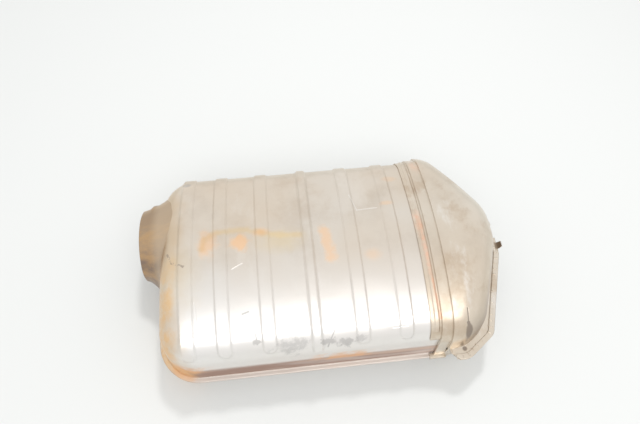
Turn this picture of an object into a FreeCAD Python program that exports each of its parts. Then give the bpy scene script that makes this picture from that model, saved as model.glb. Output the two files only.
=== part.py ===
import FreeCAD, Part
import math
import os
from FreeCAD import Vector

# Pressed steel muffler: two half shells, a neck at the left end and a two-part
# cover round the right end. All sizes are in millimetres and degrees.
# +X runs from the neck to the cover, +Y to the back and +Z up from the floor.

# Sheet and fits
sheet = 1.2
clearance = 0.3

# Body, pressed as an upper and a lower half that meet at the seam
body_left = -205.0
body_right = 137.5
body_half_width = 127.0
body_corner_radius = 48.0
seam_height = 42.0
crown_height = 132.0
crown_radius = 300.0
wall_draft = 7.0
shoulder_radius = 36.0
floor_radius = 14.0
flange_width = 5.5
flange_end_gap = 2.0

# Stiffening ribs across the upper half, which end on the shoulders.
# The flank is how far a rib's side runs out for each millimetre of its height.
rib_flank = 1.1
rib_root = 3.0
rib_end_angle = 38.0
rib_end_turn = 20.0
narrow_rib_height = 1.6
narrow_rib_width = 17.0
narrow_rib_centres = [-162.0, -121.5, -71.0, 35.0, 85.0]
main_rib_centre = -17.5
main_rib_width = 14.0
main_rib_height = 2.6
main_rib_end_angle = 22.0

# Grooves across the floor of the lower half
groove_width = 14.0
groove_depth = 2.0
groove_half_length = 80.0
groove_centres = [-130.0, -55.0, 25.0, 100.0]

# Neck at the left end and the boss that carries it
neck_y = 49.0
neck_height = 66.0
boss_radius = 48.0
boss_left = -211.0
boss_right = -150.0
neck_mouth = -233.5
neck_mouth_radius = 41.0
neck_wall = 1.5
neck_collar_length = 13.0
neck_skirt_length = 5.0
neck_weld_size = 2.4

# Cover round the right end: collar on the body, raised band, deep cover
collar_left = 112.5
collar_low = 90.0
collar_bead_centre = 119.5
collar_bead_width = 6.0
collar_bead_height = 1.0
band_left = 125.0
band_growth = 3.6
cover_wall_gap = 6.0
cover_seam_height = 66.0
cover_front_corner = 158.0
cover_slant_corner = 186.0
cover_slant_depth = 20.0
cover_tip = 220.0
cover_tip_front = -12.0
cover_tip_back = 30.0
cover_back_corner = 160.0
cover_radii = [50.0, 50.0, 60.0, 60.0, 47.0]
cover_pan_draft = 3.0
cover_floor_radius = 16.0
cover_flange_width = 13.5
cover_rim_radii = [4.0, 2.0, 20.0, 20.0, 20.0]
rim_left = 141.0
rim_slant = 9.0
hem_width = 7.0
torn_front = 8.0
torn_back = 27.0
torn_root = 2.0

# Folded tabs of the cover's lower half on the body's flange
tab_left = 120.0
tab_reach = 4.5
tab_joint = 2.0

# Inside: tubes, baffles and packing
inlet_tube_right = -4.0
transfer_tube_y = -84.0
transfer_tube_height = 62.0
transfer_tube_radius = 20.0
transfer_tube_left = -112.0
transfer_tube_right = 6.0
resonator_tube_y = 70.0
resonator_tube_height = 66.0
resonator_tube_radius = 15.0
resonator_tube_left = 38.0
resonator_tube_right = 82.0
outlet_tube_y = -20.0
outlet_tube_height = 38.0
outlet_tube_radius = 22.0
outlet_tube_left = -150.0
outlet_tube_right = 208.0
stub_left = 200.0
stub_right = 227.0
stub_wall = 1.5
stub_bore_radius = 23.5
stub_bore_length = 18.0
baffle_places = [-96.0, -18.0, 60.0]
baffle_rim = 10.0
hole_radius = 4.0
hole_rows = 6
holes_round = 8
hole_pitch = 10.0

X_AXIS = Vector(1, 0, 0)
Y_AXIS = Vector(0, 1, 0)
Z_AXIS = Vector(0, 0, 1)
reach = 400.0
touch = 0.01
slope = math.tan(math.radians(wall_draft))
lean = math.cos(math.radians(wall_draft))


def offset_outline(points, distance):
    """Move every side of a closed outline, drawn counterclockwise, out by a distance."""
    moved = []
    count = len(points)
    for index in range(count):
        before = Vector(*points[index - 1], 0)
        here = Vector(*points[index], 0)
        after = Vector(*points[(index + 1) % count], 0)
        side_in = (here - before).normalize()
        side_out = (after - here).normalize()
        normal_in = Vector(side_in.y, -side_in.x, 0)
        normal_out = Vector(side_out.y, -side_out.x, 0)
        corner_step = (normal_in + normal_out) * (distance / (1 + normal_in.dot(normal_out)))
        moved.append((here.x + corner_step.x, here.y + corner_step.y))
    return moved


def rounded_sides(points, radii, height):
    """Edges of an outline at a height: for each corner its arc, or nothing, and its side."""
    corners = [Vector(x, y, height) for x, y in points]
    count = len(corners)
    arcs = []
    starts = []
    ends = []
    for index, corner in enumerate(corners):
        inward = (corners[index - 1] - corner).normalize()
        outward = (corners[(index + 1) % count] - corner).normalize()
        half = inward.getAngle(outward) / 2
        radius = radii[index]
        run = radius / math.tan(half)
        starts.append(corner + inward * run)
        ends.append(corner + outward * run)
        bisector = (inward + outward).normalize()
        middle = corner + bisector * (radius / math.sin(half) - radius)
        arcs.append(Part.Arc(starts[-1], middle, ends[-1]).toShape() if radius > 0 else None)
    sides = [(ends[index], starts[(index + 1) % count]) for index in range(count)]
    return arcs, sides


def ring_wire(arcs, sides):
    edges = []
    for arc, side in zip(arcs, sides):
        if arc:
            edges.append(arc)
        edges.append(Part.makeLine(*side))
    return Part.Wire(edges)


def tapered_solid(outline, low, high, low_growth, high_growth):
    """Solid between two copies of an outline, grown by different amounts."""
    points, radii = outline
    rings = []
    for height, growth in ((low, low_growth), (high, high_growth)):
        grown_radii = [radius + growth if radius > 0 else 0 for radius in radii]
        rings.append(rounded_sides(offset_outline(points, growth), grown_radii, height))
    faces = [Part.Face(ring_wire(*ring)) for ring in rings]
    (low_arcs, low_sides), (high_arcs, high_sides) = rings
    for low_arc, high_arc in zip(low_arcs, high_arcs):
        if low_arc:
            corner = Part.makeLoft([Part.Wire(low_arc), Part.Wire(high_arc)], False, True)
            faces.extend(corner.Faces)
    for low_side, high_side in zip(low_sides, high_sides):
        loop = [low_side[0], low_side[1], high_side[1], high_side[0], low_side[0]]
        faces.append(Part.Face(Part.makePolygon(loop)))
    shell = Part.makeShell(faces)
    shell.sewShape()
    outward_faces = Part.makeSolid(shell).Faces
    return Part.makeSolid(Part.makeShell(outward_faces))


def plate(outline, growth, low, high):
    """Flat plate with the grown outline between two heights."""
    return tapered_solid(outline, low, high, growth, growth)


def slab(x_low, x_high, z_low=-reach, z_high=reach):
    """Block across the whole width between two X places and two heights."""
    return Part.makeBox(x_high - x_low, 2 * reach, z_high - z_low, Vector(x_low, -reach, z_low))


def tube(radius, x_low, x_high, y, z):
    """Round bar along X."""
    return Part.makeCylinder(radius, x_high - x_low, Vector(x_low, y, z), X_AXIS)


def edge_ends(edge):
    return [edge.valueAt(edge.FirstParameter), edge.valueAt(edge.LastParameter)]


def crowned_form(outline, base, lift, growth):
    """Upper pressing: drafted walls, a crowned top and a rounded shoulder."""
    points = outline[0]
    open_x = points[0][0] if outline[1][0] == 0 else points[1][0]
    top = crown_height + lift + growth + sheet
    at_base = growth / lean
    block = tapered_solid(outline, base, top, at_base, at_base - (top - base) * slope)
    radius = crown_radius + lift + growth
    centre_height = crown_height - crown_radius
    crown = Part.makeCylinder(radius, 4 * reach, Vector(-2 * reach, 0, centre_height), X_AXIS)
    block = block.common(crown)
    rims = []
    for edge in block.Edges:
        ends = edge_ends(edge)
        on_crown = all(abs(math.hypot(end.y, end.z - centre_height) - radius) < touch for end in ends)
        open_side = all(abs(end.x - open_x) < reach / 4 for end in ends)
        if on_crown and not open_side:
            rims.append(edge)
    return block.makeFillet(shoulder_radius + lift + growth, rims)


def pan_form(outline, top, draft, edge_radius, growth):
    """Lower pressing: drafted walls down to a flat floor with a rounded edge."""
    points = outline[0]
    open_x = points[0][0] if outline[1][0] == 0 else points[1][0]
    at_top = growth / math.cos(math.radians(draft))
    narrowing = (top + growth) * math.tan(math.radians(draft))
    block = tapered_solid(outline, -growth, top, at_top - narrowing, at_top)
    rims = []
    for edge in block.Edges:
        ends = edge_ends(edge)
        on_floor = all(abs(end.z + growth) < touch for end in ends)
        open_side = all(abs(end.x - open_x) < reach / 4 for end in ends)
        if on_floor and not open_side:
            rims.append(edge)
    return block.makeFillet(edge_radius + growth, rims)


body_outline = (
    [
        (body_left, -body_half_width),
        (body_right + reach, -body_half_width),
        (body_right + reach, body_half_width),
        (body_left, body_half_width),
    ],
    [body_corner_radius, 0, 0, body_corner_radius],
)

cover_left = body_right + clearance
cover_half_width = body_half_width + cover_wall_gap / lean - (cover_seam_height - seam_height) * slope
cover_points = [
    (cover_left - reach, -cover_half_width),
    (cover_front_corner, -cover_half_width),
    (cover_slant_corner, cover_slant_depth - cover_half_width),
    (cover_tip, cover_tip_front),
    (cover_tip, cover_tip_back),
    (cover_back_corner, cover_half_width),
    (cover_left - reach, cover_half_width),
]
cover_outline = (cover_points, [0] + cover_radii + [0])
cover_rim = (cover_points, [0] + cover_rim_radii + [0])
flange_right = cover_left - flange_end_gap


def body_top(growth):
    """Outer form of the upper half, grown or shrunk."""
    return crowned_form(body_outline, seam_height, 0, growth)


def body_pan(growth):
    """Outer form of the lower half, grown or shrunk."""
    return pan_form(body_outline, seam_height, wall_draft, floor_radius, growth)


def cover_top(growth):
    """Outer form of the cover's upper half, grown or shrunk."""
    return crowned_form(cover_outline, cover_seam_height, cover_wall_gap, growth)


def cover_pan(growth):
    """Outer form of the cover's lower half, grown or shrunk."""
    return pan_form(cover_outline, cover_seam_height, cover_pan_draft, cover_floor_radius, growth)


def boss(growth, x_low=boss_left):
    """Round boss drawn out of both halves, which carries the neck."""
    return tube(boss_radius + growth, x_low, boss_right, neck_y, neck_height)


def shoulder_centre():
    """Centre of the shoulder arc in the body's cross section, as Y and Z."""
    side = body_half_width + seam_height * slope - shoulder_radius / lean
    crown_centre = crown_height - crown_radius
    span = crown_radius - shoulder_radius
    linear = side * slope + crown_centre
    constant = side**2 + crown_centre**2 - span**2
    factor = 1 + slope**2
    height = (linear + math.sqrt(linear**2 - factor * constant)) / factor
    return side - height * slope, height


def rib_end(middle, surface, direction, half_foot, foot, top):
    """Rounded end of a rib: its top goes on round the shoulder inside a cone."""
    across = X_AXIS * half_foot
    corners = [
        surface + direction * foot - across,
        surface + direction * foot + across,
        surface + direction * top + across,
        surface + direction * top - across,
    ]
    strip = Part.Face(Part.makePolygon(corners + corners[:1]))
    strip.rotate(middle, X_AXIS, -rib_end_turn)
    strip = strip.revolve(middle, X_AXIS, 2 * rib_end_turn)
    low = foot - rib_root
    high = top + touch
    cone = Part.makeCone(
        half_foot + rib_root * rib_flank,
        half_foot - (high - foot) * rib_flank,
        high - low,
        surface + direction * low,
        direction,
    )
    return strip.common(cone)


def rib(centre, width, height, end_angle, base, shrink):
    """Raised rib over the top, from shoulder to shoulder, with rounded ends.

    base is how far its foot lies outside the body's form, and shrink moves its
    faces inwards by the sheet, for the hollow under it."""
    foot = -shrink - rib_root
    top = height - shrink
    half_foot = width / 2 - shrink * (math.sqrt(1 + rib_flank**2) - rib_flank) + rib_root * rib_flank
    half_top = half_foot - (top - foot) * rib_flank
    centre_y, centre_z = shoulder_centre()
    radius = shoulder_radius + base
    crown_turn = math.atan2(centre_y, centre_z - crown_height + crown_radius)
    start_turn = math.radians(end_angle)
    end_turn = math.pi / 2 - crown_turn

    def on_shoulder(side, turn):
        return Vector(
            centre,
            side * (centre_y + radius * math.cos(turn)),
            centre_z + radius * math.sin(turn),
        )

    def shoulder_arc(side):
        turns = [start_turn, (start_turn + end_turn) / 2, end_turn]
        return Part.Arc(*[on_shoulder(side, turn) for turn in turns[::-side]]).toShape()

    crown_arc = Part.Arc(
        on_shoulder(-1, end_turn), Vector(centre, 0, crown_height + base), on_shoulder(1, end_turn)
    )
    path = Part.Wire([shoulder_arc(-1), crown_arc.toShape(), shoulder_arc(1)])
    start = on_shoulder(-1, start_turn)
    outward = Vector(0, -math.cos(start_turn), math.sin(start_turn))
    corners = [
        start + outward * foot - X_AXIS * half_foot,
        start + outward * foot + X_AXIS * half_foot,
        start + outward * top + X_AXIS * half_top,
        start + outward * top - X_AXIS * half_top,
    ]
    swept = path.makePipeShell([Part.makePolygon(corners + corners[:1])], True, False)
    ends = []
    for side in (-1, 1):
        middle = Vector(centre, side * centre_y, centre_z)
        outward.y = side * math.cos(start_turn)
        ends.append(rib_end(middle, on_shoulder(side, start_turn), outward, half_foot, foot, top))
    return swept.multiFuse(ends)


def all_ribs(shrink):
    """The main rib and the narrow ones, as one list of solids."""
    ribs = [rib(main_rib_centre, main_rib_width, main_rib_height, main_rib_end_angle, 0, shrink)]
    for centre in narrow_rib_centres:
        ribs.append(rib(centre, narrow_rib_width, narrow_rib_height, rib_end_angle, 0, shrink))
    return ribs


def groove(centre, shrink):
    """Shallow groove across the floor with rounded ends; shrink gives its hollow side."""
    half_width = groove_width / 2 + shrink
    straight = Part.makeBox(
        2 * half_width,
        2 * groove_half_length,
        groove_depth + shrink + sheet,
        Vector(centre - half_width, -groove_half_length, -sheet),
    )
    ends = []
    for side in (-1, 1):
        place = Vector(centre, side * groove_half_length, -sheet)
        ends.append(Part.makeCylinder(half_width, groove_depth + shrink + sheet, place))
    return straight.multiFuse(ends).removeSplitter()


def neck_clear(shape):
    """Cut away what would touch the neck's skirt and its weld."""
    room = neck_wall + neck_weld_size + 2 * clearance
    return shape.cut(boss(room, boss_left - room).common(slab(-reach, body_left + neck_weld_size)))


def body_flange(low, high):
    """Seam flange round the body, cut off before the cover."""
    rim = plate(body_outline, flange_width, low, high).common(slab(-reach, flange_right))
    return neck_clear(rim)


def upper_shell():
    outer = body_top(0).multiFuse([boss(0).common(slab(-reach, reach, seam_height))] + all_ribs(0))
    outer = outer.common(slab(-reach, body_right))
    outer = outer.fuse(body_flange(seam_height, seam_height + sheet))
    hollow = body_top(-sheet).multiFuse([boss(-sheet, boss_left - sheet)] + all_ribs(sheet))
    return outer.cut(hollow)


def lower_shell():
    outer = body_pan(0).fuse(boss(0).common(slab(-reach, reach, -reach, seam_height)))
    outer = outer.common(slab(-reach, body_right))
    outer = outer.fuse(body_flange(seam_height - sheet, seam_height))
    hollow = body_pan(-sheet).fuse(boss(-sheet, boss_left - sheet))
    for centre in groove_centres:
        outer = outer.cut(groove(centre, 0))
        hollow = hollow.cut(groove(centre, sheet))
    return outer.cut(hollow).removeSplitter()


def inlet_neck():
    """Flared neck, turned about its own axis."""
    skirt_radius = boss_radius + clearance
    flare_start = neck_mouth + neck_collar_length
    run = boss_left - neck_wall - clearance - flare_start
    rise = skirt_radius + neck_wall - neck_mouth_radius
    flare_radius = (run**2 + rise**2) / (2 * rise)
    turn = math.asin(run / flare_radius)
    axis = Vector(0, neck_y, neck_height)

    def place(x, radius):
        return Vector(x, neck_y, neck_height + radius)

    def flare_point(angle, offset):
        radius = flare_radius + offset
        return place(
            flare_start + radius * math.sin(angle),
            neck_mouth_radius + flare_radius - radius * math.cos(angle),
        )

    outer_end = flare_point(turn, 0)
    skirt_end = boss_left + neck_skirt_length
    outer_arc = Part.Arc(flare_point(0, 0), flare_point(turn / 2, 0), outer_end)
    inner_top = flare_point(turn, neck_wall)
    inner_arc = Part.Arc(inner_top, flare_point(turn / 2, neck_wall), flare_point(0, neck_wall))
    edges = [
        Part.makeLine(place(neck_mouth, neck_mouth_radius), flare_point(0, 0)),
        outer_arc.toShape(),
        Part.makeLine(outer_end, place(skirt_end, skirt_radius + neck_wall)),
        Part.makeLine(place(skirt_end, skirt_radius + neck_wall), place(skirt_end, skirt_radius)),
        Part.makeLine(place(skirt_end, skirt_radius), place(inner_top.x, skirt_radius)),
        Part.makeLine(place(inner_top.x, skirt_radius), inner_top),
        inner_arc.toShape(),
        Part.makeLine(flare_point(0, neck_wall), place(neck_mouth, neck_mouth_radius - neck_wall)),
        Part.makeLine(place(neck_mouth, neck_mouth_radius - neck_wall), place(neck_mouth, neck_mouth_radius)),
    ]
    return Part.Face(Part.Wire(edges)).revolve(axis, X_AXIS, 360)


def ring(inner, outer, x_low, x_high, y, z):
    return tube(outer, x_low, x_high, y, z).cut(tube(inner, x_low, x_high, y, z))


def bead_ring(radius, size, x, y, z):
    """Half-round weld bead round a pipe, against a face on its left."""
    section = Part.Face(Part.Wire(Part.makeCircle(size, Vector(x, y, z + radius), Y_AXIS)))
    return section.revolve(Vector(x, y, z), X_AXIS, 360).cut(tube(radius, x - size, x + size, y, z))


def neck_weld():
    """Weld bead between the neck's skirt and the boss."""
    edge = boss_left + neck_skirt_length
    bead = bead_ring(boss_radius, neck_weld_size, edge, neck_y, neck_height)
    bead = bead.common(slab(edge, edge + neck_weld_size))
    return bead.cut(body_top(0)).cut(body_pan(0))


def cover_upper():
    """Collar hugging the body, a raised band and the deep cover, pressed as one."""
    collar = body_top(clearance + sheet).common(slab(collar_left, band_left + sheet, collar_low))
    band_low = seam_height + 2 * (sheet + clearance)
    band = body_top(band_growth).common(slab(band_left, cover_left + sheet, band_low))
    dome = cover_top(0).common(slab(cover_left, reach))
    bead = rib(collar_bead_centre, collar_bead_width, collar_bead_height, rib_end_angle,
               clearance + sheet, 0)
    outer = dome.multiFuse([collar, band, bead])
    low = cover_seam_height
    rim = plate(cover_rim, cover_flange_width - sheet - clearance, low, low + sheet)
    rim = trimmed_rim(rim, sheet + clearance)
    outer = outer.fuse(rim)
    hollow = cover_top(-sheet).common(slab(cover_left + sheet, reach))
    under_band = body_top(band_growth - sheet).common(slab(band_left + sheet, cover_left + 2 * sheet))
    under_collar = body_top(clearance).common(slab(collar_left - sheet, band_left + 2 * sheet))
    shape = outer.cut(hollow).cut(under_band).cut(under_collar)
    shape = shape.cut(slab(cover_left - clearance, reach, -reach, cover_seam_height))
    return shape.cut(torn_gap()).removeSplitter()


def trimmed_rim(rim, inset):
    """Cut the cover's flange off at a slant where it ends beside the body."""
    edge = cover_half_width + cover_flange_width
    rim = rim.common(slab(rim_left + inset, reach))
    for side in (-1, 1):
        corner = [
            Vector(rim_left + inset, side * (edge - rim_slant), -reach),
            Vector(rim_left + inset + rim_slant, side * edge, -reach),
            Vector(rim_left + inset, side * (edge + rim_slant), -reach),
        ]
        wedge = Part.Face(Part.makePolygon(corner + corner[:1])).extrude(Z_AXIS * 2 * reach)
        rim = rim.cut(wedge)
    return rim


def torn_gap():
    """Space where the flange is torn open at the tip."""
    return Part.makeBox(
        cover_flange_width + reach,
        torn_back - torn_front,
        cover_flange_width,
        Vector(cover_tip + torn_root, torn_front, cover_seam_height - cover_flange_width / 2),
    )


def flange_tab(side):
    """Folded tab that grips the end of the body's flange."""
    edge = body_half_width + flange_width
    outside = edge + clearance + sheet
    half = 2 * sheet + clearance
    inner = edge - tab_reach
    y_low = inner if side > 0 else -outside
    block = Part.makeBox(cover_left + tab_joint - tab_left, outside - inner, 2 * half,
                         Vector(tab_left, y_low, seam_height - half))
    room_low = inner if side > 0 else -(edge + clearance)
    room = Part.makeBox(flange_right + clearance - tab_left, edge + clearance - inner,
                        2 * (sheet + clearance),
                        Vector(tab_left, room_low, seam_height - sheet - clearance))
    walls = body_top(clearance).fuse(body_pan(clearance))
    return block.cut(room).cut(walls)


def cover_lower():
    """Deep pan under the cover, with a hem folded over the upper half's flange."""
    pan = cover_pan(0).cut(cover_pan(-sheet)).common(slab(cover_left, reach))
    low = cover_seam_height - sheet
    hem_top = cover_seam_height + 2 * sheet + clearance
    rim = plate(cover_rim, cover_flange_width, low, hem_top)
    rim = rim.cut(plate(cover_rim, cover_flange_width - sheet, cover_seam_height, hem_top - sheet))
    rim = rim.cut(plate(cover_rim, cover_flange_width - hem_width, cover_seam_height, hem_top))
    rim = trimmed_rim(rim, 0)
    rim = rim.cut(cover_pan(-sheet)).cut(plate(cover_outline, -sheet, low - sheet, hem_top))
    outlet = tube(stub_bore_radius + stub_wall + clearance, stub_left, reach,
                  outlet_tube_y, outlet_tube_height)
    tabs = [flange_tab(-1), flange_tab(1)]
    shape = pan.multiFuse([rim] + tabs).cut(outlet)
    return shape.cut(torn_gap()).removeSplitter()


def inner_space(gap):
    """Room inside both halves, less a gap all round."""
    return body_top(-sheet - gap).fuse(body_pan(-sheet - gap))


def pipe(radius, wall, x_low, x_high, y, z):
    return ring(radius - wall, radius, x_low, x_high, y, z)


inlet_tube_radius = neck_mouth_radius - neck_wall - clearance
inlet_tube_left = neck_mouth + neck_collar_length


def inlet_tube():
    """Large inlet tube with rows of holes in the packed chamber."""
    shape = pipe(inlet_tube_radius, sheet, inlet_tube_left, inlet_tube_right, neck_y, neck_height)
    first = (baffle_places[0] + baffle_places[1] - (hole_rows - 1) * hole_pitch) / 2
    holes = []
    for row in range(hole_rows):
        x = first + row * hole_pitch
        for index in range(holes_round // 2):
            angle = math.pi * (2 * index + row % 2) / holes_round
            direction = Vector(0, math.cos(angle), math.sin(angle))
            start = Vector(x, neck_y, neck_height) - direction * 2 * inlet_tube_radius
            holes.append(Part.makeCylinder(hole_radius, 4 * inlet_tube_radius, start, direction))
    return shape.cut(holes)


def transfer_tube():
    return pipe(transfer_tube_radius, sheet, transfer_tube_left, transfer_tube_right,
                transfer_tube_y, transfer_tube_height)


def resonator_tube():
    return pipe(resonator_tube_radius, sheet, resonator_tube_left, resonator_tube_right,
                resonator_tube_y, resonator_tube_height)


def outlet_tube():
    return pipe(outlet_tube_radius, sheet, outlet_tube_left, outlet_tube_right,
                outlet_tube_y, outlet_tube_height)


def outlet_stub():
    """Outlet pipe end that leaves the cover low on its right side."""
    socket_radius = outlet_tube_radius + clearance + stub_wall
    step = stub_right - stub_bore_length
    socket = pipe(socket_radius, stub_wall, stub_left, step, outlet_tube_y, outlet_tube_height)
    end = pipe(stub_bore_radius + stub_wall, stub_wall, step, stub_right, outlet_tube_y, outlet_tube_height)
    return socket.fuse(end)


def tube_rooms(with_gap):
    """Bars that stand for the tubes, grown by a gap, for cutting their holes."""
    return [
        tube(inlet_tube_radius + with_gap, inlet_tube_left, inlet_tube_right, neck_y, neck_height),
        tube(transfer_tube_radius + with_gap, transfer_tube_left, transfer_tube_right,
             transfer_tube_y, transfer_tube_height),
        tube(resonator_tube_radius + with_gap, resonator_tube_left, resonator_tube_right,
             resonator_tube_y, resonator_tube_height),
        tube(outlet_tube_radius + with_gap, outlet_tube_left, outlet_tube_right,
             outlet_tube_y, outlet_tube_height),
    ]


def baffle(x, rim_x):
    """Wall across the body with a rim against the shells; the rim points to rim_x."""
    room = inner_space(clearance)
    face = room.common(slab(x, x + sheet))
    rim_low, rim_high = sorted((x + sheet if rim_x > 0 else x, x + rim_x))
    rim = room.cut(inner_space(clearance + sheet)).common(slab(rim_low, rim_high))
    return face.fuse(rim).cut(tube_rooms(clearance)).removeSplitter()


def wool_packing():
    """Sound-absorbing wool round the perforated part of the inlet tube."""
    left = baffle_places[0] + baffle_rim + sheet
    right = baffle_places[1] - clearance
    low = groove_depth + 2 * sheet
    block = inner_space(2 * clearance).common(slab(left, right, low))
    return block.cut(tube_rooms(clearance))


parts = {
    "upper_shell": upper_shell(),
    "lower_shell": lower_shell(),
    "inlet_neck": inlet_neck(),
    "neck_weld": neck_weld(),
    "cover_upper": cover_upper(),
    "cover_lower": cover_lower(),
    "inlet_tube": inlet_tube(),
    "transfer_tube": transfer_tube(),
    "resonator_tube": resonator_tube(),
    "outlet_tube": outlet_tube(),
    "outlet_stub": outlet_stub(),
    "baffle_left": baffle(baffle_places[0], baffle_rim),
    "baffle_middle": baffle(baffle_places[1], baffle_rim),
    "baffle_right": baffle(baffle_places[2], baffle_rim),
    "end_plate": baffle(body_right - sheet - clearance, -baffle_rim),
    "wool_packing": wool_packing(),
}

os.makedirs("parts", exist_ok=True)
for name, shape in parts.items():
    shape.exportStep("parts/" + name + ".step")
    print(name, shape.isValid(), len(shape.Solids), round(shape.Volume))
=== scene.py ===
# %% [markdown]
# # A used muffler on a pale bench
#
# The object is a pressed-steel muffler: a ribbed body of two halves, a flared neck at
# the left end and a crimped two-part cover round the right end. The solids come
# from a CAD model, so this lesson is about the finish: rolled stainless sheet that
# heat has tinted, rain has streaked with rust and handling has scratched.
#
# The CAD solids could be imported by hand, but then a scale or a place could
# slip. The glTF importer loads them in metres, already where they belong.

# %% The CAD model as a fixed frame
import math

import bpy
from mathutils import Euler, Matrix, Vector
from mathutils.bvhtree import BVHTree


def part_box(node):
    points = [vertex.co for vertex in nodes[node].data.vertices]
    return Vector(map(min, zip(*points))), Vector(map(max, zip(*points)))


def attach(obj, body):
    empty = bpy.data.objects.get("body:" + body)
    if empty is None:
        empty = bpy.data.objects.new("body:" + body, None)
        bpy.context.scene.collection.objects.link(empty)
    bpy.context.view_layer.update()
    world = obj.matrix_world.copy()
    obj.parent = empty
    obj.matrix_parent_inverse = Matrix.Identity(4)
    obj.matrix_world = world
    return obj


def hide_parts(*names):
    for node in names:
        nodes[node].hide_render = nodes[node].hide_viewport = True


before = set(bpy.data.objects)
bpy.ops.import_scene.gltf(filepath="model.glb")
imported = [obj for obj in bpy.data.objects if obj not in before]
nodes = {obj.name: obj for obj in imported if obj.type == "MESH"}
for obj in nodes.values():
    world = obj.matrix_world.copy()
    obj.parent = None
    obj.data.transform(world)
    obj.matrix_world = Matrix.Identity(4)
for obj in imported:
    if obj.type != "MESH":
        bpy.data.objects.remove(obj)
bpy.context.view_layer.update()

# %% [markdown]
# ## Camera
#
# The bench is seen from a little to the left and steeply from above. A camera can
# be aimed by a constraint, but fixed numbers are easier to repeat: the place is in
# metres and the turn comes from the tilt below the horizon, the swing and the roll.

# %% Camera at the angle of the photograph
tilt_below_horizon = 61.54
swing = -7.48
roll = 1.35
camera_data = bpy.data.cameras.new("camera")
camera_data.lens = 27.95
camera = bpy.data.objects.new("camera", camera_data)
camera.location = (-0.0365, -0.2505, 0.6668)
level = Euler((math.radians(90 - tilt_below_horizon), 0, math.radians(swing))).to_matrix()
camera.rotation_euler = (level @ Matrix.Rotation(math.radians(roll), 3, "Z")).to_euler()
bpy.context.scene.collection.objects.link(camera)
bpy.context.scene.camera = camera
print("camera at", tuple(round(v, 3) for v in camera.location))

# %% [markdown]
# ## A way to write shader maths
#
# A material is a graph of nodes. It could be wired line by line, but a formula
# such as `1 - mask` is easier to read. So one small class wraps a node's output
# and adds a Math node whenever it is used in a sum, and one method makes every
# other node from its type, its settings and its values.

# %% A node output that can be used in a sum
class Signal:
    def __init__(self, finish, socket):
        self.finish = finish
        self.socket = socket

    def maths(self, operation, first, second):
        return self.finish.node("ShaderNodeMath", {"operation": operation}, {0: first, 1: second})

    def __add__(self, other):
        return self.maths("ADD", self, other)

    def __radd__(self, other):
        return self.maths("ADD", other, self)

    def __sub__(self, other):
        return self.maths("SUBTRACT", self, other)

    def __rsub__(self, other):
        return self.maths("SUBTRACT", other, self)

    def __mul__(self, other):
        return self.maths("MULTIPLY", self, other)

    def __rmul__(self, other):
        return self.maths("MULTIPLY", other, self)

    def __truediv__(self, other):
        return self.maths("DIVIDE", self, other)

    def __pow__(self, other):
        return self.maths("POWER", self, other)

    def __abs__(self):
        return self.maths("ABSOLUTE", self, 0.0)

    def least(self, other):
        return self.maths("MINIMUM", self, other)

    def most(self, other):
        return self.maths("MAXIMUM", self, other)


# %% A material with one method for its nodes
class Finish:
    def __init__(self, name):
        self.material = bpy.data.materials.new(name)
        self.material.use_nodes = True
        self.tree = self.material.node_tree
        self.tree.nodes.clear()
        self.place = self.node("ShaderNodeTexCoord", output="Object")
        self.x = self.part_of(self.place, "X") * 1000
        self.y = self.part_of(self.place, "Y") * 1000
        self.z = self.part_of(self.place, "Z") * 1000

    def node(self, kind, settings=None, values=None, output=0):
        made = self.tree.nodes.new(kind)
        for name, value in (settings or {}).items():
            setattr(made, name, value)
        for key, value in (values or {}).items():
            if isinstance(value, Signal):
                self.tree.links.new(value.socket, made.inputs[key])
            else:
                made.inputs[key].default_value = value
        return Signal(self, made.outputs[output])

    def part_of(self, vector, axis):
        return self.node("ShaderNodeSeparateXYZ", values={"Vector": vector}, output=axis)

    def colour(self, red, green, blue):
        return (red, green, blue, 1.0)

    def tint(self, mask, under, over):
        """The colour under, covered by the colour over where the mask is 1."""
        values = {0: mask, 6: under, 7: over}
        return self.node("ShaderNodeMix", {"data_type": "RGBA"}, values, output=2)

    def step(self, value, low, high):
        """0 below low, 1 above high, smooth between. Low may be the larger."""
        if low > high:
            return 1 - self.step(value, high, low)
        return self.node(
            "ShaderNodeMapRange",
            {"interpolation_type": "SMOOTHSTEP"},
            {"Value": value, "From Min": low, "From Max": high},
        )

    def stretched(self, x, y, z):
        """Object coordinates, stretched along each axis."""
        return self.node("ShaderNodeMapping", values={"Vector": self.place, "Scale": (x, y, z)})

    def noise(self, scale, detail=3.0, rough=0.55, place=None, shift=0.0):
        """Noise from 0 to 1, with scale waves in a metre; shift picks another pattern."""
        return self.node(
            "ShaderNodeTexNoise",
            {"noise_dimensions": "4D"},
            {
                "Vector": place or self.place,
                "W": shift,
                "Scale": scale,
                "Detail": detail,
                "Roughness": rough,
            },
        )


print("shader helpers ready")

# %% [markdown]
# ## Marks at a place
#
# Stains, smudges and scratches sit where rain, heat and hands left them. They
# could be painted on an image, but a distance in the formula stays sharp at any
# size. A spot is the distance from a point, a streak the distance from a line,
# and noise moves both edges so that neither looks drawn with a compass.

# %% Spots and streaks in millimetres
edge_swing = 4


def spot(finish, x, y, radius_x, radius_y, soft=0.5, wander=0.35, grain=60):
    """Mask of a blot round a point, seen from above."""
    across = (finish.x - x) / radius_x
    along = (finish.y - y) / radius_y
    distance = (across**2 + along**2) ** 0.5
    edge = (finish.noise(grain, 4.0, 0.6, shift=x) - 0.5) * edge_swing * wander
    return finish.step(distance + edge, 1 + soft, 1 - soft)


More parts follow.
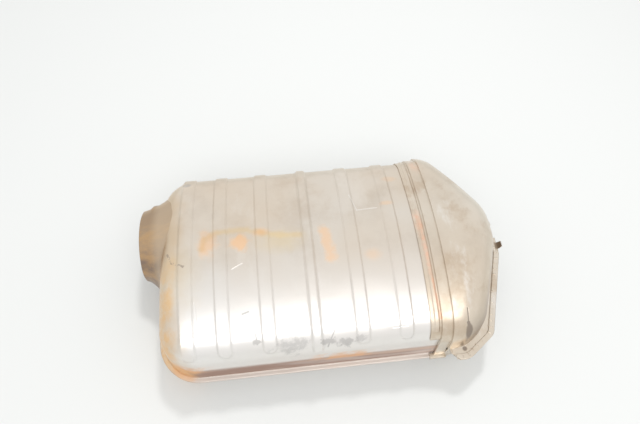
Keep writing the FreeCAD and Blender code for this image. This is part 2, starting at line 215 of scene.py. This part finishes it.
def streak(finish, start, end, width, soft=0.6, wander=0.5, grain=90):
    """Mask of a line between two points, seen from above."""
    run = (end[0] - start[0], end[1] - start[1])
    square = run[0] ** 2 + run[1] ** 2
    dx = finish.x - start[0]
    dy = finish.y - start[1]
    share = ((dx * run[0] + dy * run[1]) / square).most(0.0).least(1.0)
    off_x = dx - share * run[0]
    off_y = dy - share * run[1]
    distance = (off_x**2 + off_y**2) ** 0.5 / (width / 2)
    edge = (finish.noise(grain, 4.0, 0.6, shift=start[0]) - 0.5) * edge_swing * wander
    return finish.step(distance + edge, 1 + soft, 1 - soft)


def any_of(masks):
    """The strongest of several masks."""
    whole = masks[0]
    for mask in masks[1:]:
        whole = whole.most(mask)
    return whole


print("spots and streaks ready")

# %% [markdown]
# ## Rolled stainless sheet
#
# New stainless sheet is grey with a fine grain from rolling. Exhaust heat turns
# it straw, then champagne and brown, most near the inlet. The tint could be one
# colour, but the real sheet shifts slowly over a hand's width, so broad noise
# moves it between two tones. The grain is noise stretched along the roll, and low
# waves in the bump bend the reflections the way thin pressed sheet does. Pressed
# edges are never sharp, so a Bevel node rounds the outer sheets' edges before the
# bump is added.

# %% The bare sheet that every steel finish starts from
millimetre = 0.001
bevel_samples = 4
rib_edge_radius = 0.0024
cover_edge_radius = 0.0016


def sheet_base(finish, cool, warm):
    """Colour, roughness and height of the rolled sheet, before any marks."""
    tone = finish.step(finish.noise(7, 3.0, 0.5), 0.25, 0.75)
    colour = finish.tint(tone, finish.colour(*cool), finish.colour(*warm))
    grain = finish.noise(260, 4.0, 0.6, finish.stretched(0.12, 1.0, 1.0))
    patches = finish.noise(22, 5.0, 0.6, shift=3.0)
    dull = finish.step(patches, 0.45, 0.72)
    darker = finish.colour(*[0.82 * part for part in warm])
    colour = finish.tint(dull * 0.45, colour, darker)
    wiped = finish.noise(16, 6.0, 0.7, finish.stretched(1.0, 0.45, 1.0), shift=31.0)
    brighter = finish.colour(*[1.12 * part for part in cool])
    colour = finish.tint(finish.step(wiped, 0.52, 0.66) * 0.3, colour, brighter)
    rough = 0.31 + dull * 0.1 + (grain - 0.5) * 0.1
    waves = finish.noise(9, 2.0, 0.5, shift=7.0)
    height = waves * 1.6 + grain * 0.012 + patches * 0.06
    return colour, rough, height


def steel_output(finish, colour, rough, metallic, height, edge=0.0):
    """Joins the signals to the shader; edge is the radius that rounds sharp edges."""
    bump_values = {"Strength": 1.0, "Distance": millimetre, "Height": height}
    if edge > 0:
        bevel = finish.node("ShaderNodeBevel", {"samples": bevel_samples}, {"Radius": edge})
        bump_values["Normal"] = bevel
    bump = finish.node("ShaderNodeBump", values=bump_values)
    shader = finish.node(
        "ShaderNodeBsdfPrincipled",
        values={"Base Color": colour, "Roughness": rough, "Metallic": metallic, "Normal": bump},
    )
    output = finish.tree.nodes.new("ShaderNodeOutputMaterial")
    finish.tree.links.new(shader.socket, output.inputs["Surface"])
    return finish.material


print("sheet base ready")

# %% [markdown]
# ## Body
#
# The far half keeps a champagne tint, the front half is painted brighter and paler
# as a painted highlight, and the left end near the inlet is tan. Rust has run along
# the top in an arc and down the left edge. The front wall is brown with rust and
# with painted shade, below a bright band at the shoulder.
# Each mark is a mask, laid over the sheet's colour in the order it came: tint,
# then rust, then the dark smudges of handling, then bare scratches.

# %% Tint, rust and a painted front highlight on the two body halves
body = Finish("body_steel")
# Painted highlight: the front half is painted brighter and paler, where the light falls on it.
painted_front_highlight = body.step(body.y, 25.0, -110.0)
colour, rough, height = sheet_base(body, (0.745, 0.70, 0.635), (0.71, 0.615, 0.505))
colour = body.tint(painted_front_highlight * 0.75, colour, body.colour(0.84, 0.83, 0.82))
left_tint = body.step(body.x + (body.noise(16, 4.0) - 0.5) * 70, -155.0, -188.0)
near_neck = spot(body, -200, 42, 22, 66, soft=0.6)
colour = body.tint(near_neck * 0.6, colour, body.colour(0.66, 0.52, 0.37))
colour = body.tint(left_tint * 0.7, colour, body.colour(0.64, 0.50, 0.34))
far_side = body.step(body.y, -20.0, 60.0)
stain = body.step(body.noise(12, 6.0, 0.65, shift=41.0), 0.5, 0.68) * far_side
colour = body.tint(stain * 0.5, colour, body.colour(0.56, 0.45, 0.34))
left_band = body.step(body.x + (body.noise(30, 5.0) - 0.5) * 30, -170.0, -182.0)
flecks = body.step(body.noise(45, 5.0, 0.65), 0.35, 0.62)
left_orange = left_band * body.step(body.y, 10.0, -40.0) * flecks
colour = body.tint(left_orange * 0.7, colour, body.colour(0.72, 0.45, 0.20))

arc_line = [
    (-142, 1), (-139, 14), (-129, 20), (-109, 23), (-89, 22), (-70, 15), (-54, 12), (-28, 9),
]
arc = any_of([streak(body, a, b, 7, soft=0.9, wander=0.7) for a, b in zip(arc_line, arc_line[1:])])
colour = body.tint(arc * 0.5, colour, body.colour(0.60, 0.44, 0.22))
yellow = any_of([
    spot(body, -50, 4, 22, 12, soft=0.8),
    spot(body, -168, -30, 20, 30, soft=0.8) * 0.5,
])
colour = body.tint(yellow * 0.3, colour, body.colour(0.80, 0.62, 0.30))
blots = any_of([
    spot(body, -136, 7, 10, 13, soft=0.8, wander=0.8, grain=75) * 0.8,
    spot(body, -98, 6, 10, 10, soft=0.5, wander=0.7, grain=75),
    spot(body, -73, 17, 8, 5, soft=0.7) * 0.8,
    streak(body, (2, 12), (8, -24), 12, soft=0.8, wander=0.8) * 0.8,
    spot(body, 57, -25, 8, 6, soft=0.8) * 0.45,
    spot(body, 85, 42, 8, 3) * 0.5,
    spot(body, 96, 82, 9, 4) * 0.35,
])
colour = body.tint(blots * 0.62, colour, body.colour(0.74, 0.42, 0.19))
print("body tint and rust ready")

# %% Front wall, smudges and scratches of the body
below = body.step(body.z, 72.0, 64.0)
wall = body.step(body.y, -112.0, -122.0) * below
runs = body.noise(40, 5.0, 0.65, body.stretched(0.12, 1.0, 1.0))
lanes = body.noise(90, 3.0, 0.6, body.stretched(0.05, 1.0, 2.0), shift=2.0)
# The wall's dark brown is partly rust and partly painted shade, standing in for the shadowed bench
# it reflects.
wall_rust_and_painted_shade = wall * (0.55 + 0.45 * body.step(runs, 0.3, 0.6))
colour = body.tint(wall_rust_and_painted_shade * 0.9, colour, body.colour(0.25, 0.13, 0.085))
pale_lanes = wall * body.step(lanes, 0.50, 0.66)
colour = body.tint(pale_lanes * 0.55, colour, body.colour(0.66, 0.50, 0.40))
flange = body.step(body.z, 46.0, 43.5) * body.step(body.y, -110.0, -124.0)
colour = body.tint(flange * 0.8, colour, body.colour(0.80, 0.74, 0.68))
orange_run = body.step(abs(body.x - 12), 45.0, 20.0) + body.step(body.x, -130.0, -165.0)
wall_top = body.step(body.y, -112.0, -120.0) * body.step(abs(body.z - 70), 14.0, 4.0)
orange_lip = orange_run * wall_top * body.step(body.noise(70, 5.0, 0.6), 0.35, 0.6)
orange_lip = orange_lip.least(1.0)
colour = body.tint(orange_lip * 0.6, colour, body.colour(0.80, 0.42, 0.18))
corner = spot(body, -178, -112, 16, 16, soft=0.7) * below
colour = body.tint(corner * 0.8, colour, body.colour(0.76, 0.44, 0.20))

smudges = any_of([
    spot(body, -46, -114, 16, 5, soft=0.7, wander=1.0, grain=130) * 0.8,
    spot(body, -4, -114, 9, 3, soft=0.5, wander=0.9, grain=150),
    spot(body, 14, -116, 9, 3, soft=0.5, wander=0.9, grain=150),
    spot(body, 31, -115, 8, 2.5, soft=0.5, wander=0.9, grain=150) * 0.8,
    spot(body, -86, -108, 4, 2, wander=0.8, grain=150),
    streak(body, (-92, -76), (-99, -78), 1.5),
    streak(body, (-86, -100), (-85, -110), 1.5),
    streak(body, (3, -104), (-6, -118), 1.5),
    spot(body, -165, 102, 5, 3),
])
colour = body.tint(smudges * 0.6, colour, body.colour(0.30, 0.29, 0.28))
dots = body.step(body.noise(380, 1.0, 0.4), 0.45, 0.6)
crack = any_of([
    streak(body, (-184, 2), (-178, -11), 2.4, wander=0.9),
    streak(body, (-178, -11), (-163, -19), 2.4, wander=0.9),
]) * dots
colour = body.tint(crack * 0.6, colour, body.colour(0.30, 0.24, 0.20))
scratches = any_of([
    streak(body, (-108, -27), (-96, -21), 1.4, wander=0.2),
    streak(body, (46, 36), (72, 37), 1.2, wander=0.2),
    streak(body, (69, -108), (86, -108), 1.0, wander=0.2),
    streak(body, (-152, -60), (-149, -95), 1.0, wander=0.2),
    streak(body, (40, 60), (47, 35), 1.0, wander=0.2),
])
colour = body.tint(scratches * 0.45, colour, body.colour(0.95, 0.93, 0.90))
dull_wall = wall_rust_and_painted_shade * (1 - flange) * 1.5
rust = any_of([blots * 0.8, arc * 0.5, dull_wall, smudges, corner * 0.8, left_orange * 0.6])
rough = rough + rust * 0.2
metallic = 1 - rust * 0.5
dents = (
    spot(body, -80, 75, 30, 20, soft=0.9, wander=0.1)
    + spot(body, 60, 10, 35, 25, soft=0.9, wander=0.1)
)
height = height - dents * 0.8 - scratches * 0.2
body_steel = steel_output(body, colour, rough, metallic, height, rib_edge_radius)
print("body nodes:", len(body.tree.nodes))

# %% [markdown]
# ## Cover
#
# The cover is browner than the body, blotched and smudged, with bare patches
# where something rubbed it. Rust follows the bead beside the body, where water
# stays, and a dark leaf-shaped stain sits low on the front corner.

# %% Finish of the cover's two halves
cover = Finish("cover_steel")
colour, rough, height = sheet_base(cover, (0.74, 0.68, 0.59), (0.68, 0.58, 0.465))
blotches = cover.step(cover.noise(24, 6.0, 0.65, shift=11.0), 0.48, 0.66)
colour = cover.tint(blotches * 0.6, colour, cover.colour(0.54, 0.42, 0.30))
rubbed = cover.noise(20, 6.0, 0.7, cover.stretched(1.0, 0.5, 1.0), shift=21.0)
bare = cover.step(rubbed, 0.55, 0.68)
colour = cover.tint(bare * 0.5, colour, cover.colour(0.88, 0.85, 0.81))
above_seam = cover.step(cover.z, 69.0, 72.0) * cover.step(cover.x, 150.0, 172.0)
# Painted shade: the cover's steep side above the seam is painted dark, where it turns away from
# the light.
painted_side_shade = cover.step(cover.z, 120.0, 92.0) * above_seam
colour = cover.tint(painted_side_shade * 0.9, colour, cover.colour(0.36, 0.29, 0.23))
seam_rust = any_of([
    spot(cover, 109, 14, 4, 16, soft=0.7),
    spot(cover, 118, 8, 4, 14, soft=0.7),
    streak(cover, (119, 0), (120, -56), 5, soft=0.8),
    streak(cover, (120, -50), (124, -104), 3, soft=0.7),
    spot(cover, 132, 100, 5, 10, soft=0.8) * 0.5,
])
seam_rust = seam_rust * (0.4 + 0.6 * cover.step(cover.noise(110, 5.0, 0.6), 0.4, 0.6))
colour = cover.tint(seam_rust * 0.65, colour, cover.colour(0.70, 0.36, 0.22))
leaf = any_of([
    streak(cover, (155, -98), (155, -112), 1.6, wander=0.2),
    streak(cover, (155, -112), (158, -119), 4, soft=0.3, wander=0.2),
    spot(cover, 157, -119, 4.5, 6, soft=0.25, wander=0.15),
    spot(cover, 158, -131, 3, 3, soft=0.3),
])
colour = cover.tint(leaf * 0.8, colour, cover.colour(0.20, 0.16, 0.13))
metallic = 1 - seam_rust * 0.5 - leaf * 0.4
rough = rough + leaf * 0.2
height = height - leaf * 0.3
cover_steel = steel_output(cover, colour, rough, metallic, height, cover_edge_radius)
print("cover nodes:", len(cover.tree.nodes))

# %% [markdown]
# ## Neck, inner steel, weld metal and wool
#
# The neck carries the hottest gas, so it is brown all over, and it pales towards its
# root as the heat tint fades. Its near side is painted darker, a painted shade. One
# even brown would hide that, so a mask in y and one in x change it. What is inside
# is dull and brown too. The wool is pale mineral fibre.

# %% Finish of the neck and of what is inside
neck = Finish("neck_steel")
colour, rough, height = sheet_base(neck, (0.44, 0.33, 0.23), (0.36, 0.25, 0.16))
# Painted shade: the neck's near side is painted darker, where it turns down and away from the
# light.
painted_near_side_shade = neck.step(neck.y + (neck.noise(60, 4.0) - 0.5) * 20, 26.0, 6.0)
colour = neck.tint(painted_near_side_shade * 0.8, colour, neck.colour(0.24, 0.18, 0.15))
burn = neck.step(neck.noise(55, 5.0, 0.6, neck.stretched(0.4, 1.0, 1.0)), 0.42, 0.65)
colour = neck.tint(burn * 0.55, colour, neck.colour(0.60, 0.38, 0.18))
root = neck.step(neck.x, -212.0, -197.0)
colour = neck.tint(root * 0.6, colour, neck.colour(0.60, 0.48, 0.35))
inside = neck.step(((neck.y - 48) ** 2 + (neck.z - 68) ** 2) ** 0.5, 41.6, 40.8)
colour = neck.tint(inside * 0.7, colour, neck.colour(0.16, 0.12, 0.09))
neck_steel = steel_output(neck, colour, rough + 0.06, 1 - inside * 0.4, height * 0.5)

inner = Finish("inner_steel")
colour, rough, height = sheet_base(inner, (0.40, 0.37, 0.33), (0.28, 0.23, 0.19))
inner_steel = steel_output(inner, colour, rough + 0.15, 1.0, height)

weld = Finish("weld_metal")
colour, rough, height = sheet_base(weld, (0.30, 0.22, 0.16), (0.20, 0.13, 0.09))
weld_metal = steel_output(weld, colour, rough + 0.2, 1.0, height)

wool = Finish("packing_wool")
strands = wool.noise(400, 6.0, 0.7, wool.stretched(0.2, 1.0, 1.0))
colour = wool.tint(strands, wool.colour(0.45, 0.40, 0.30), wool.colour(0.72, 0.68, 0.56))
packing_wool = steel_output(wool, colour, 0.95, 0.0, strands * 1.5)
print("finishes of the neck and the inside ready")

# %% Each solid gets its finish
finishes = {
    body_steel: ["upper_shell", "lower_shell"],
    cover_steel: ["cover_upper", "cover_lower"],
    neck_steel: ["inlet_neck"],
    weld_metal: ["neck_weld"],
    inner_steel: ["inlet_tube", "transfer_tube", "resonator_tube", "outlet_tube", "outlet_stub",
                  "baffle_left", "baffle_middle", "baffle_right", "end_plate"],
    packing_wool: ["wool_packing"],
}
for material, names in finishes.items():
    for name in names:
        nodes[name].data.materials.clear()
        nodes[name].data.materials.append(material)
        print(name, "gets", material.name)

# %% [markdown]
# ## The drawn neck
#
# On the real muffler the neck is drawn and flared until it runs into the end wall
# without a step, and it points a little upwards. It could be a plain lathe shape,
# but the wall that it meets is a curved shoulder. So every line from the mouth to
# the wall is a Bezier curve: it leaves the mouth along the neck's own axis and
# ends along the wall, at the place where a ray finds the shell.

# %% Rings of points from the mouth to the end wall
depsgraph = bpy.context.evaluated_depsgraph_get()
shells = [BVHTree.FromObject(nodes[name], depsgraph) for name in ("upper_shell", "lower_shell")]
rise = math.radians(4)
mouth_centre = Vector((-0.2246, 0.0435, 0.0690))
into_body = Vector((math.cos(rise), 0, -math.sin(rise)))
mouth_up = Vector((math.sin(rise), 0, math.cos(rise)))
neck_axis = Vector((0, 0.0490, 0.0660))
mouth_radius = 0.0460
root_radius = 0.0600
front_spread = 0.0200
mouth_pull = 0.007
mouth_flare = 0.2
root_pull = 0.011
root_sink = 0.0006
boss_radius = 0.0487
boss_left = -0.2112
boss_slope = 0.8
end_wall_x = -0.2050
seam_height = 0.0420
seam_reach = 0.008
ray_start_x = -0.30
ray_length = 0.2
lines_round = 120
steps_along = 22
to_the_right = Vector((1, 0, 0))


def smoothed(values, reach):
    """Each vector becomes the mean of its neighbours round the ring."""
    count = len(values)
    width = 2 * reach + 1
    return [
        sum((values[(i + k) % count] for k in range(-reach, reach + 1)), Vector()) / width
        for i in range(count)
    ]


def wall_point(angle):
    """Place on the end wall and direction along it, seen from the left at an angle.

    Near the seam the ray would find the flange, so the flat wall's place is used."""
    radial = Vector((0, math.cos(angle), math.sin(angle)))
    reach = root_radius + front_spread * max(0.0, -radial.y) ** 2
    start = neck_axis + to_the_right * ray_start_x + radial * reach
    hits = [shell.ray_cast(start, to_the_right, ray_length) for shell in shells]
    found = [(hit[0], hit[1]) for hit in hits if hit[0] is not None]
    place, normal = min(found, key=lambda hit: hit[0].x)
    if abs(place.z - seam_height) < seam_reach:
        place, normal = Vector((end_wall_x, place.y, place.z)), -to_the_right
    along = radial - normal * radial.dot(normal)
    return place - normal * root_sink, along.normalized()


def clear_of_boss(point):
    """The point, moved out from the boss's axis where the round boss would show."""
    least = boss_radius - boss_slope * max(0.0, boss_left - point.x)
    out = Vector((0, point.y - neck_axis.y, point.z - neck_axis.z))
    return point + out.normalized() * max(0.0, least - out.length)


angles = [math.tau * k / lines_round for k in range(lines_round)]
roots, tangents = zip(*[wall_point(angle) for angle in angles])
roots, tangents = smoothed(roots, 3), smoothed(tangents, 6)
around = [Vector((0, math.cos(a), 0)) + mouth_up * math.sin(a) for a in angles]
rings = []
for step in range(steps_along + 1):
    t = step / steps_along
    ring = []
    for direction, root, tangent in zip(around, roots, tangents):
        first = mouth_centre + direction * mouth_radius
        second = first + (into_body + direction * mouth_flare) * mouth_pull
        third = root - tangent * root_pull
        point = ((1 - t) ** 3 * first + 3 * t * (1 - t) ** 2 * second
                 + 3 * t**2 * (1 - t) * third + t**3 * root)
        ring.append(clear_of_boss(point))
    rings.append(ring)
print("neck rings:", len(rings), "with", lines_round, "points each")

# %% The neck as one closed skin, with a rolled lip and an inner wall
lip_radius = 0.0011
lip_depth = 0.002
inner_radius = 0.0402
inner_places = (-0.2045, -0.2185)
inner_mouth_radius = mouth_radius - 2 * lip_radius


def ring_at(centre, radius, directions):
    return [centre + direction * radius for direction in directions]


lip_rings = []
for turn in (150, 90, 30):
    forward = lip_radius * math.sin(math.radians(turn))
    outward = lip_radius * (1 + math.cos(math.radians(turn)))
    centre = mouth_centre - into_body * forward
    lip_rings.append(ring_at(centre, inner_mouth_radius + outward, around))
level_around = [Vector((0, math.cos(a), math.sin(a))) for a in angles]
inner_rings = [
    ring_at(neck_axis + to_the_right * x, inner_radius, level_around) for x in inner_places
]
inner_rings.append(ring_at(mouth_centre + into_body * lip_depth, inner_mouth_radius, around))
closed = inner_rings + lip_rings + rings


def skin_of(rings, name):
    """Mesh through closed rings of points; the last ring joins the first."""
    points = [point for ring in rings for point in ring]
    count, width = len(rings), len(rings[0])
    quads = []
    for row in range(count):
        low, high = row * width, (row + 1) % count * width
        for column in range(width):
            after = (column + 1) % width
            quads.append((low + column, high + column, high + after, low + after))
    mesh = bpy.data.meshes.new(name)
    mesh.from_pydata(points, [], quads)
    mesh.polygons.foreach_set("use_smooth", [True] * len(quads))
    return mesh


def new_piece(name, mesh, material):
    """Object for a mesh, which rides on the body and has its finish and slot."""
    piece = bpy.data.objects.new(name, mesh)
    mesh.materials.clear()
    mesh.materials.append(material)
    bpy.context.scene.collection.objects.link(piece)
    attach(piece, "root")
    print(name, "has", len(mesh.polygons), "faces")
    return piece


neck_mesh = skin_of(closed, "drawn_neck")
drawn_neck = new_piece("drawn_neck", neck_mesh, neck_steel)
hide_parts("inlet_neck", "neck_weld")

# %% [markdown]
# ## Bent tab at the tip
#
# The cover's flange was torn at the tip, and one corner of it stands up. The cut
# is already in the solid; the bent corner is a short strip of the same sheet. It
# could be modelled flat and bent with a modifier, but five points of its section
# give the same curl.

# %% A strip of sheet, curled up from the flange
def bent_strip(name, section, y_front, y_back, taper, thickness):
    """Closed strip that follows a section in x and z, between two places along y."""
    points, faces = [], []
    count = len(section)
    for index, (x, z) in enumerate(section):
        before = Vector(section[max(index - 1, 0)])
        after = Vector(section[min(index + 1, count - 1)])
        run = (after - before).normalized()
        offset = Vector((-run.y, run.x)) * thickness
        narrow = taper * index / (count - 1)
        for y in (y_front + narrow, y_back - narrow):
            points.append((x, y, z))
            points.append((x + offset.x, y, z + offset.y))
    for index in range(count - 1):
        a, b = 4 * index, 4 * index + 4
        faces += [
            (a, a + 2, b + 2, b),
            (a + 1, b + 1, b + 3, a + 3),
            (a, b, b + 1, a + 1),
            (a + 2, a + 3, b + 3, b + 2),
        ]
    end = 4 * (count - 1)
    faces += [(0, 1, 3, 2), (end, end + 2, end + 3, end + 1)]
    mesh = bpy.data.meshes.new(name)
    mesh.from_pydata(points, [], faces)
    return mesh


curl = [
    (0.2270, 0.0672), (0.2305, 0.0680), (0.2335, 0.0700), (0.2360, 0.0732), (0.2368, 0.0765),
]
torn_mesh = bent_strip(
    "torn_corner", curl, y_front=-0.010, y_back=0.001, taper=0.002, thickness=0.0012,
)
new_piece("torn_corner", torn_mesh, cover_steel)

# %% [markdown]
# ## Pinch marks on the crimped seam
#
# The rolls that close the cover's seam leave a row of small pinches across it.
# They could be placed one by one, but they repeat along a path, so Geometry Nodes
# sets one small bar at every step along the seam's line. Its inputs have names,
# and the seed is fixed, so every run gives the same row.

# %% Nodes that put a bar at each step of a line
pinch_inputs = {
    "Pitch": "NodeSocketFloat",
    "Bar size": "NodeSocketVector",
    "Seed": "NodeSocketInt",
    "Material": "NodeSocketMaterial",
}
smallest_scale, largest_scale = 0.7, 1.2


def pinch_row_nodes():
    """Node group, and the identifier of each of its inputs by name."""
    group = bpy.data.node_groups.new("pinch_row", "GeometryNodeTree")
    face = group.interface
    face.new_socket("Geometry", in_out="INPUT", socket_type="NodeSocketGeometry")
    sockets = {}
    for name, kind in pinch_inputs.items():
        sockets[name] = face.new_socket(name, in_out="INPUT", socket_type=kind).identifier
    face.new_socket("Geometry", in_out="OUTPUT", socket_type="NodeSocketGeometry")
    make, link = group.nodes.new, group.links.new
    given = make("NodeGroupInput")
    curve = make("GeometryNodeMeshToCurve")
    points = make("GeometryNodeCurveToPoints")
    bar = make("GeometryNodeMeshCube")
    align = make("FunctionNodeAlignRotationToVector")
    size = make("FunctionNodeRandomValue")
    place = make("GeometryNodeInstanceOnPoints")
    real = make("GeometryNodeRealizeInstances")
    paint = make("GeometryNodeSetMaterial")
    made = make("NodeGroupOutput")
    points.mode = "LENGTH"
    align.axis = "X"
    align.pivot_axis = "Z"
    size.data_type = "FLOAT"
    size.inputs[2].default_value = smallest_scale
    size.inputs[3].default_value = largest_scale
    link(given.outputs["Geometry"], curve.inputs[0])
    link(curve.outputs[0], points.inputs["Curve"])
    link(given.outputs["Pitch"], points.inputs["Length"])
    link(given.outputs["Bar size"], bar.inputs["Size"])
    link(given.outputs["Seed"], size.inputs["Seed"])
    link(points.outputs["Tangent"], align.inputs["Vector"])
    link(points.outputs["Points"], place.inputs["Points"])
    link(bar.outputs["Mesh"], place.inputs["Instance"])
    link(align.outputs["Rotation"], place.inputs["Rotation"])
    link(size.outputs[1], place.inputs["Scale"])
    link(place.outputs["Instances"], real.inputs[0])
    link(real.outputs[0], paint.inputs["Geometry"])
    link(given.outputs["Material"], paint.inputs["Material"])
    link(paint.outputs[0], made.inputs[0])
    return group, sockets


print("pinch row takes", ", ".join(pinch_inputs))


# %% The row along the seam, kept as a plain mesh
def baked(name, points, group, values):
    """Runs a node group on a line of points and keeps the result as a mesh."""
    line = bpy.data.meshes.new(name + "_line")
    line.from_pydata(points, [(i, i + 1) for i in range(len(points) - 1)], [])
    carrier = bpy.data.objects.new(name, line)
    bpy.context.scene.collection.objects.link(carrier)
    modifier = carrier.modifiers.new("nodes", "NODES")
    modifier.node_group = group
    for identifier, value in values.items():
        modifier[identifier] = value
    bpy.context.view_layer.update()
    graph = bpy.context.evaluated_depsgraph_get()
    mesh = bpy.data.meshes.new_from_object(carrier.evaluated_get(graph))
    bpy.data.objects.remove(carrier)
    return mesh


hem_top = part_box("cover_lower")[1][2]
seam_line = [
    (0.146, -0.1405), (0.158, -0.1400), (0.193, -0.1150), (0.2298, -0.0120), (0.2300, 0.0020),
]
seam_points = [(x, y, hem_top) for x, y in seam_line]
group, sockets = pinch_row_nodes()
pinches = baked("seam_pinches", seam_points, group, {
    sockets["Pitch"]: 0.0075,
    sockets["Bar size"]: (0.0012, 0.0046, 0.0009),
    sockets["Seed"]: 4,
    sockets["Material"]: cover_steel,
})
new_piece("seam_pinches", pinches, cover_steel)

# %% [markdown]
# ## Floor and light
#
# The bench is a plain pale sheet. Light could come from one hard lamp, but soft
# light from above and in front shows the ribs without hiding the colours. A
# smaller lamp behind gives the shadow along the front edge, and is kept out of the
# reflections, where it would bleach the top.

# %% Floor, lamps and background
def flat_plane(name, corners, material):
    """A face of the stage, which is no piece of the muffler."""
    mesh = bpy.data.meshes.new(name)
    mesh.from_pydata(corners, [], [(0, 1, 2, 3)])
    plane = bpy.data.objects.new(name, mesh)
    plane.data.materials.append(material)
    bpy.context.scene.collection.objects.link(plane)


bench = Finish("bench_top")
bench_grain = bench.noise(40) * 0.02
bench_white = steel_output(bench, bench.colour(0.65, 0.66, 0.65), 0.6, 0.0, bench_grain)
reach = 6.0
floor_corners = [(-reach, -reach, 0), (reach, -reach, 0), (reach, reach, 0), (-reach, reach, 0)]
flat_plane("bench", floor_corners, bench_white)

world = bpy.data.worlds.new("studio")
world.use_nodes = True
bpy.context.scene.world = world
background = world.node_tree.nodes["Background"]
background.inputs["Color"].default_value = (1, 1, 1, 1)
background.inputs["Strength"].default_value = 1.0


def lamp(name, place, size, power):
    """Area lamp that points at the middle of the bench."""
    data = bpy.data.lights.new(name, "AREA")
    data.shape = "RECTANGLE"
    data.size, data.size_y = size
    data.energy = power
    light = bpy.data.objects.new(name, data)
    light.location = place
    light.rotation_euler = (-Vector(place)).to_track_quat("-Z", "Y").to_euler()
    bpy.context.scene.collection.objects.link(light)
    print(name, "at", place)
    return light


lamp("key_light", (0.1, -1.15, 1.75), (1.6, 1.0), 12)
back_light = lamp("back_light", (0.20, 0.55, 1.6), (0.15, 0.15), 9)
back_light.visible_glossy = False
bpy.context.scene.view_settings.view_transform = "Standard"
